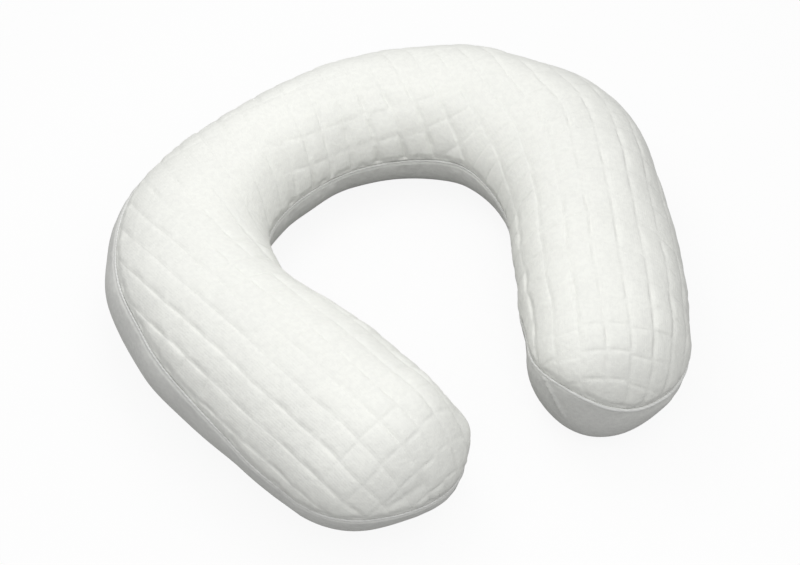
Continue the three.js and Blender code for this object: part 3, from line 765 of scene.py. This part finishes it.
def cloth_sheet(places, index):
    """A sheet of cloth through the places. index has the place of each row and column."""
    corners = np.stack([index[:-1, :-1], index[1:, :-1], index[1:, 1:], index[:-1, 1:]], axis=-1)
    faces = [list(dict.fromkeys(face)) for face in corners.reshape(-1, 4).tolist()]
    mesh = bpy.data.meshes.new("filling_cloth")
    mesh.from_pydata(to_frame(places).tolist(), [], [face for face in faces if len(face) > 2])
    if sum(polygon.normal.z for polygon in mesh.polygons) < 0:
        mesh.flip_normals()
    cloth = bpy.data.objects.new("filling_cloth", mesh)
    bpy.context.collection.objects.link(cloth)
    return cloth


def filled_sheet():
    """How far a sheet over the form lifts when it is filled, in millimetres on coarse steps."""
    points, normals, held = (both_halves(*pair) for pair in zip(held_cloth(False), held_cloth(True)))
    rounded = np.round(points.reshape(-1, 3), CLOTH_DIGITS)
    places, first, index = np.unique(rounded, axis=0, return_index=True, return_inverse=True)
    index = index.reshape(points.shape[:2])
    cloth = cloth_sheet(places, index)
    hold(cloth, held.ravel()[first])
    blow_up(cloth)
    moved = np.zeros(len(places) * 3)
    cloth.data.vertices.foreach_get("co", moved)
    moved = moved.reshape(-1, 3) - to_frame(places)
    bpy.data.meshes.remove(cloth.data)
    return np.clip((moved[index] * normals).sum(axis=-1) / MM, 0, CLOTH_CAP)


def soften(values, axis):
    """A light smoothing along one axis."""
    longer = np.concatenate([values.take([0], axis), values, values.take([-1], axis)], axis)
    steps = np.arange(values.shape[axis])
    return (longer.take(steps, axis) + 2 * values + longer.take(steps + 2, axis)) / 4


def fine_steps(values, rows):
    """Values on coarse steps brought to every row and column of one half, and softened."""
    at_rows, at_columns = coarse_steps(rows), coarse_steps(TOP_COLUMNS)
    wide = np.stack([np.interp(np.arange(TOP_COLUMNS), at_columns, row) for row in values])
    full = np.stack([np.interp(np.arange(rows), at_rows, line) for line in wide.T], axis=1)
    for _ in range(CLOTH_SOFTEN):
        full = soften(soften(full, 0), 1)
    return full


def filled_halves():
    """The lift of the outer and the inner half, as a share of the whole sheet's usual lift."""
    sheet = filled_sheet()
    sheet /= np.percentile(sheet, USUAL_LIFT)
    middle = sheet.shape[1] // 2
    rows = len(side_rays(False).t)
    return fine_steps(sheet[:, middle::-1], rows), fine_steps(sheet[:, middle:], rows)


# The two panels and the welt

def upper_half(inside, filled):
    """Points and grid numbers of one half of the quilted panel, from the crown to the turned edge."""
    rays, shares, section, u, v = upper_cloth(inside)
    points = points_on(rays, section.offset, section.height)
    from_crown = section.length[:, None] * shares
    from_seam = section.length[:, None] * (1 - shares)
    lift = quilt_relief(u, v, rays, from_crown, inside, filled) * smoothstep(from_seam, 0, LOW_EDGE)
    lift += seam_puckers(rays, inside, from_seam) + fold(points, TIP_FOLD)
    lift += (uneven_fill(points) + lumps(points)) * smoothstep(from_seam, 0, 2 * LOW_EDGE)
    points += normals_on(rays, section) * lift[..., None]
    points = np.concatenate([points, turned_edge(rays, True)], axis=1)
    numbers = np.stack([u, v], axis=2)
    return points, np.concatenate([numbers, numbers[:, -1:]], axis=1)


def under_half(inside):
    """Points and cloth places of one half of the plain panel, from the base's middle to the turned edge."""
    rays = side_rays(inside)
    shares = np.linspace(0, 1, UNDER_COLUMNS)
    section = under_section(rays, shares)
    points = points_on(rays, section.offset, section.height)
    from_seam = section.length[:, None] * (1 - shares)
    lift = seam_puckers(rays, inside, from_seam) + uneven_fill(points) + lumps(points)
    lift *= smoothstep(section.height, UNDER_FLAT, UNDER_FILL_FULL) * smoothstep(from_seam, 0, LOW_EDGE)
    ridges = sum(fold(points, line) for line in CLOSING_SEAMS)
    lift += ridges * smoothstep(section.height, UNDER_FLAT, CLOSING_SEAM_FULL)
    points += normals_on(rays, section) * lift[..., None]
    points = np.concatenate([points, turned_edge(rays, False)], axis=1)
    run = run_along(rim_places(rays))
    places = np.stack([np.broadcast_to(run[:, None], from_seam.shape), from_seam], axis=2)
    return points, np.concatenate([places, places[:, -1:]], axis=1)


def laid_panel(name, halves, uv_name):
    """A flat sheet of cloth laid over the form, with its cloth places as the UV map."""
    points, uv = (both_halves(*pair) for pair in zip(*halves))
    rows, columns = points.shape[:2]
    deselect_all()
    bpy.ops.mesh.primitive_grid_add(x_subdivisions=columns - 1, y_subdivisions=rows - 1, size=1)
    panel = bpy.context.object
    panel.name = panel.data.name = name
    mesh = panel.data
    mesh.vertices.foreach_set("co", to_frame(points).astype(np.float32).ravel())
    layer = mesh.uv_layers.active
    layer.name = uv_name
    corners = np.zeros(len(mesh.loops), np.int32)
    mesh.loops.foreach_get("vertex_index", corners)
    layer.uv.foreach_set("vector", uv.reshape(-1, 2)[corners].astype(np.float32).ravel())
    close_panel(panel)
    return panel


def close_panel(panel):
    """Welds the tips, closes the panel behind the welt and turns its faces out."""
    bpy.context.view_layer.objects.active = panel
    bpy.ops.object.mode_set(mode="EDIT")
    bpy.ops.mesh.select_all(action="SELECT")
    bpy.ops.mesh.remove_doubles(threshold=WELDED * MM)
    bpy.ops.mesh.select_all(action="DESELECT")
    bpy.ops.mesh.select_mode(type="EDGE")
    bpy.ops.mesh.select_non_manifold(extend=False, use_wire=False, use_multi_face=False, use_verts=False)
    bpy.ops.mesh.edge_face_add()
    bpy.ops.mesh.select_all(action="SELECT")
    bpy.ops.mesh.normals_make_consistent(inside=False)
    bpy.ops.object.mode_set(mode="OBJECT")
    bpy.ops.object.shade_smooth()


def welt_stands_out(places):
    """1 where the welt stands out of the seam most, falling to 0 away from there."""
    away = np.linalg.norm(places[:, :2] - WELT_STANDS_OUT["at"], axis=1)
    return np.exp(-(away / WELT_STANDS_OUT["reach"]) ** WELT_STANDS_OUT["fall"])


def welt_line():
    """The closed line of the welt's middle, a little sunk in the seam, with no point doubled at the tips."""
    halves = []
    for rays in (side_rays(False), side_rays(True)):
        seam = seam_places(rays)
        sunk = WELT_SHOWN["sunk"] - WELT_STANDS_OUT["lift"] * welt_stands_out(rim_places(rays))
        offset = seam.offset - sunk * seam.out
        height = seam.height - sunk * seam.up
        halves.append(points_on(rays, offset[:, None], height[:, None])[:, 0])
    return np.concatenate([halves[0], halves[1][-2:0:-1]])


def welt_radius(line):
    """The welt shows more or less of itself along the seam, in whole waves round the loop."""
    run = run_along(np.vstack([line, line[:1]]))
    turns = 2 * math.pi * run[:-1] / run[-1]
    waved = sum(share * np.sin(round(run[-1] / length) * turns) for length, share in WELT_WAVES)
    shown = lerp(WELT_SHOWN["least"], WELT_SHOWN["most"], 0.5 + waved)
    return shown + WELT_STANDS_OUT["radius"] * welt_stands_out(line)


def covered_tube(name, line, radius):
    """A round cord of cloth along a closed line of points, as a mesh. Its radius differs along the line."""
    deselect_all()
    bpy.ops.curve.primitive_nurbs_path_add()
    tube = bpy.context.object
    tube.name = name
    curve = tube.data
    curve.splines.clear()
    spline = curve.splines.new("POLY")
    spline.points.add(len(line) - 1)
    spline.points.foreach_set("co", np.column_stack([to_frame(line), np.ones(len(line))]).ravel())
    spline.points.foreach_set("radius", radius)
    spline.use_cyclic_u = True
    curve.twist_mode = "Z_UP"
    curve.bevel_depth = MM
    curve.bevel_resolution = WELT_SIDES // 2 - 2
    bpy.ops.object.convert(target="MESH")
    tube = bpy.context.object
    bpy.ops.object.transform_apply(location=True, rotation=True, scale=True)
    bpy.ops.object.shade_smooth()
    tube.data.name = name
    return tube


# Materials

def feed(tree, socket, value):
    """Links a socket to another one, or sets it to a value."""
    if isinstance(value, bpy.types.NodeSocket):
        tree.links.new(value, socket)
    else:
        socket.default_value = value


def add_node(tree, kind, group=None, **inputs):
    """A node with its inputs fed. Their names have _ for a space, and a group node shows its group."""
    node = tree.nodes.new("ShaderNode" + kind)
    if group:
        node.node_tree = group
    for name, value in inputs.items():
        feed(tree, node.inputs[name.replace("_", " ")], value)
    return node


def math_node(tree, operation, *values):
    """A sum of one kind on sockets or numbers; its result is the socket that comes back."""
    node = add_node(tree, "Math")
    node.operation = operation
    for socket, value in zip(node.inputs, values):
        feed(tree, socket, value)
    return node.outputs[0]


def ramp_node(tree, value, low, high, to_low, to_high):
    """A smooth step of a value from one range to another."""
    node = add_node(tree, "MapRange", Value=value, From_Min=low, From_Max=high, To_Min=to_low, To_Max=to_high)
    node.interpolation_type = "SMOOTHSTEP"
    return node.outputs["Result"]


def noise_node(tree, place, scale, detail):
    return add_node(tree, "TexNoise", Vector=place, Scale=scale, Detail=detail).outputs["Fac"]


def new_group(name, inputs, outputs):
    """A shader node group with its sockets; inputs and outputs give each socket's name and kind."""
    tree = bpy.data.node_groups.new(name, "ShaderNodeTree")
    for socket, kind in inputs:
        tree.interface.new_socket(socket, in_out="INPUT", socket_type=kind)
    for socket, kind in outputs:
        tree.interface.new_socket(socket, in_out="OUTPUT", socket_type=kind)
    return tree, tree.nodes.new("NodeGroupInput").outputs, tree.nodes.new("NodeGroupOutput").inputs


def knit_group():
    """Rows of V-shaped stitches. Place is in millimetres of cloth, and Height runs from 0 to 1."""
    sizes = [("Stitch Width", "NodeSocketFloat"), ("Stitch Length", "NodeSocketFloat")]
    tree, given, result = new_group(
        "knit_stitches", [("Place", "NodeSocketVector"), *sizes], [("Height", "NodeSocketFloat")])
    place = add_node(tree, "SeparateXYZ", Vector=given["Place"]).outputs
    wale = math_node(tree, "DIVIDE", place["X"], given["Stitch Width"])
    course = math_node(tree, "DIVIDE", place["Y"], given["Stitch Length"])
    from_edge = math_node(tree, "MULTIPLY", math_node(tree, "PINGPONG", wale, 0.5), 2)
    rib = math_node(tree, "SINE", math_node(tree, "MULTIPLY", from_edge, math.pi / 2))
    slant = math_node(tree, "ADD", course, math_node(tree, "MULTIPLY", from_edge, 0.5))
    loop = math_node(tree, "SINE", math_node(tree, "MULTIPLY", slant, 2 * math.pi))
    loop = math_node(tree, "MULTIPLY_ADD", loop, STITCH_HOLLOW, 1 - STITCH_HOLLOW)
    tree.links.new(math_node(tree, "MULTIPLY", rib, loop), result["Height"])
    return tree


def lint_group():
    """Short fibres that stand out of the cloth, and soft clouds of tone, from 0 to 1."""
    tree, given, result = new_group(
        "lint_and_clouds", [("Place", "NodeSocketVector")],
        [("Lint", "NodeSocketFloat"), ("Clouds", "NodeSocketFloat")])
    tree.links.new(noise_node(tree, given["Place"], LINT_GRAIN, LINT_DETAIL), result["Lint"])
    tree.links.new(noise_node(tree, given["Place"], CLOUD_GRAIN, CLOUD_DETAIL), result["Clouds"])
    return tree


KNIT = knit_group()
LINT = lint_group()


def new_cloth(kind):
    """A matt cloth and its lint: the material, its tree, its shader and the two values of the lint."""
    material = bpy.data.materials.new(kind["name"])
    material.use_nodes = True
    tree = material.node_tree
    shader = tree.nodes["Principled BSDF"]
    shader.inputs["Sheen Weight"].default_value = kind["sheen"]
    shader.inputs["Sheen Roughness"].default_value = SHEEN_ROUGHNESS
    shader.inputs["Specular IOR Level"].default_value = SPECULAR
    lint = add_node(tree, "Group", LINT, Place=add_node(tree, "TexCoord").outputs["Object"]).outputs
    smoothest = kind["roughness"] - ROUGHNESS_SPREAD / 2
    rough = math_node(tree, "MULTIPLY_ADD", lint["Lint"], ROUGHNESS_SPREAD, smoothest)
    tree.links.new(rough, shader.inputs["Roughness"])
    return material, tree, shader, lint


def stitches(tree, uv_name, scale, size):
    """The knit on a piece's own cloth places, brought to millimetres by scale."""
    uv = add_node(tree, "UVMap")
    uv.uv_map = uv_name
    cloth = add_node(tree, "Mapping", Vector=uv.outputs["UV"], Scale=(*scale, 1))
    knit = add_node(tree, "Group", KNIT, Place=cloth.outputs["Vector"], Stitch_Width=size[0],
                    Stitch_Length=size[1])
    return knit.outputs["Height"], uv.outputs["UV"]


def set_relief(tree, shader, height):
    """Fine relief in millimetres."""
    bump = add_node(tree, "Bump", Distance=MM, Height=height)
    tree.links.new(bump.outputs["Normal"], shader.inputs["Normal"])


def set_tone(tree, shader, kind, share):
    """Colour between the cloth's pale and deep tone, by a share of 0 to 1."""
    mix = add_node(tree, "Mix")
    mix.data_type = "RGBA"
    mix.inputs["A"].default_value = (*kind["pale"], 1)
    mix.inputs["B"].default_value = (*kind["deep"], 1)
    tree.links.new(share, mix.inputs["Factor"])
    tree.links.new(mix.outputs["Result"], shader.inputs["Base Color"])


def crease_mask(tree, grid):
    """1 on the quilting lines, falling to 0 beside them, for the dip of the creases and their painted shade.
    The cross lines are fainter.
    """
    number = add_node(tree, "SeparateXYZ", Vector=grid).outputs
    masks = []
    for axis, block, strength in (("X", BLOCK_ACROSS, 1), ("Y", BLOCK_ALONG, CROSS_CREASE)):
        from_line = math_node(tree, "MULTIPLY", math_node(tree, "PINGPONG", number[axis], 0.5), block)
        masks.append(ramp_node(tree, from_line, 0, CREASE_HALF_WIDTH, strength, 0))
    return math_node(tree, "MAXIMUM", *masks)


def tone_and_gap_shade(tree, lint, knit):
    """Deeper between the stitches, as painted shade, and under the lint and in the clouds, as the cloth's
    uneven tone, from 0 to 1.
    """
    # Painted shade in the gaps, where the knit is low.
    gaps = math_node(tree, "SUBTRACT", 1, knit)
    clouds = ramp_node(tree, lint["Clouds"], *CLOUD_TONE)
    shaded = math_node(tree, "ADD", clouds, ramp_node(tree, lint["Lint"], *LINT_TONE))
    return math_node(tree, "MULTIPLY_ADD", gaps, GAP_PAINTED_SHADE, shaded)


def cloth_relief(tree, lint, threads):
    """Lint over the threads of a knit or a wrapping, in millimetres."""
    fibres = math_node(tree, "MULTIPLY", lint["Lint"], LINT_HEIGHT)
    return math_node(tree, "MULTIPLY_ADD", threads, STITCH_HEIGHT, fibres)


def quilted_knit():
    material, tree, shader, lint = new_cloth(QUILTED_KNIT)
    knit, grid = stitches(tree, "quilt", (BLOCK_ACROSS, BLOCK_ALONG), QUILTED_KNIT["stitch"])
    breaks = ramp_node(tree, lint["Clouds"], *CREASE_BREAKS)
    creases = math_node(tree, "MULTIPLY", crease_mask(tree, grid), breaks)
    # The creases get painted shade in their colour, as well as the dip in their relief.
    tone = math_node(tree, "MULTIPLY_ADD", creases, CREASE_PAINTED_SHADE, tone_and_gap_shade(tree, lint, knit))
    set_tone(tree, shader, QUILTED_KNIT, tone)
    relief = math_node(tree, "MULTIPLY_ADD", creases, -CREASE_DEPTH, cloth_relief(tree, lint, knit))
    set_relief(tree, shader, relief)
    return material


def plain_knit():
    material, tree, shader, lint = new_cloth(PLAIN_KNIT)
    knit, _ = stitches(tree, "cloth", (1, 1), PLAIN_KNIT["stitch"])
    set_tone(tree, shader, PLAIN_KNIT, tone_and_gap_shade(tree, lint, knit))
    set_relief(tree, shader, cloth_relief(tree, lint, knit))
    return material


def welt_cloth():
    material, tree, shader, lint = new_cloth(WELT_CLOTH)
    place = add_node(tree, "TexCoord").outputs["Object"]
    wrap = add_node(tree, "TexWave", Vector=place, Scale=WRAP_GRAIN, Distortion=WRAP_DISTORTION)
    wrap.bands_direction = "DIAGONAL"
    set_tone(tree, shader, WELT_CLOTH, wrap.outputs["Fac"])
    set_relief(tree, shader, cloth_relief(tree, lint, wrap.outputs["Fac"]))
    return material


def dress(piece, node, material):
    """Gives a piece its cloth, its slot and its body, and hides the solid that it stands for."""
    piece.data.materials.clear()
    piece.data.materials.append(material)
    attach(piece, "root")
    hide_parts(node)


# Stage

def make_floor():
    deselect_all()
    bpy.ops.mesh.primitive_circle_add(vertices=FLOOR_SIDES, radius=FLOOR_RADIUS, fill_type="NGON")
    floor = bpy.context.object
    floor.name = "studio_floor"
    floor.data.materials.append(floor_material())


def mixed_shaders(tree, share, first, second):
    mix = add_node(tree, "MixShader", Fac=share)
    tree.links.new(first.outputs[0], mix.inputs[1])
    tree.links.new(second.outputs[0], mix.inputs[2])
    return mix


def floor_material():
    """White to look at, with a faint shadow, but throwing little light back up under the pillow."""
    material = bpy.data.materials.new("studio_floor")
    material.use_nodes = True
    tree = material.node_tree
    dull = add_node(tree, "BsdfDiffuse", Color=(*[FLOOR_BOUNCE] * 3, 1))
    pale = add_node(tree, "BsdfDiffuse", Color=(*[FLOOR_WHITE] * 3, 1))
    shown = mixed_shaders(tree, FLOOR_SHADOW, add_node(tree, "Emission"), pale)
    floor = mixed_shaders(tree, add_node(tree, "LightPath").outputs["Is Camera Ray"], dull, shown)
    tree.links.new(floor.outputs[0], tree.nodes["Material Output"].inputs["Surface"])
    tree.nodes.remove(tree.nodes["Principled BSDF"])
    return material


def add_lamp(name, place, power):
    """A soft round lamp that the camera doesn't see."""
    deselect_all()
    bpy.ops.object.light_add(type="POINT", location=to_frame(place))
    lamp = bpy.context.object
    lamp.name = name
    lamp.data.shadow_soft_size = LAMP_RADIUS
    lamp.data.energy = power
    lamp.visible_camera = False


def make_world():
    """Light from all round, stronger from above. To the camera it is plain white."""
    world = bpy.data.worlds.new("studio")
    world.use_nodes = True
    tree = world.node_tree
    background = tree.nodes["Background"]
    background.inputs["Color"].default_value = (1, 1, 1, 1)
    direction = add_node(tree, "SeparateXYZ", Vector=add_node(tree, "TexCoord").outputs["Generated"])
    strength = math_node(tree, "MULTIPLY_ADD", direction.outputs["Z"], WORLD_LIGHT_UP, WORLD_LIGHT)
    seen = add_node(tree, "LightPath").outputs["Is Camera Ray"]
    tree.links.new(math_node(tree, "MAXIMUM", strength, seen), background.inputs["Strength"])
    bpy.context.scene.world = world


def make_camera():
    deselect_all()
    turn, rise = math.radians(CAMERA_AZIMUTH), math.radians(CAMERA_ELEVATION)
    back = Vector((math.sin(turn) * math.cos(rise), -math.cos(turn) * math.cos(rise), math.sin(rise)))
    target = Vector(to_frame(CAMERA_TARGET))
    bpy.ops.object.camera_add(location=target + back * CAMERA_DISTANCE * MM)
    camera = bpy.context.object
    camera.rotation_euler = (-back).to_track_quat("-Z", "Y").to_euler()
    camera.data.lens = CAMERA_LENS
    camera.data.sensor_width = SENSOR_WIDTH
    camera.data.clip_start = NEAREST_SEEN
    bpy.context.scene.camera = camera


make_camera()
filled_outer, filled_inner = filled_halves()
quilted_halves = [upper_half(False, filled_outer), upper_half(True, filled_inner)]
quilted_top = laid_panel("quilted_panel", quilted_halves, "quilt")
plain_base = laid_panel("plain_panel", [under_half(False), under_half(True)], "cloth")
seam_line = welt_line()
welt = covered_tube("welt_cord", seam_line, welt_radius(seam_line))
dress(quilted_top, "quilted_top", quilted_knit())
dress(plain_base, "plain_base", plain_knit())
dress(welt, "seam_piping", welt_cloth())
make_floor()
add_lamp("key_above_back", KEY_PLACE, KEY_POWER)
add_lamp("fill_above_front", FRONT_PLACE, FRONT_POWER)
make_world()
bpy.context.scene.view_settings.view_transform = "Standard"
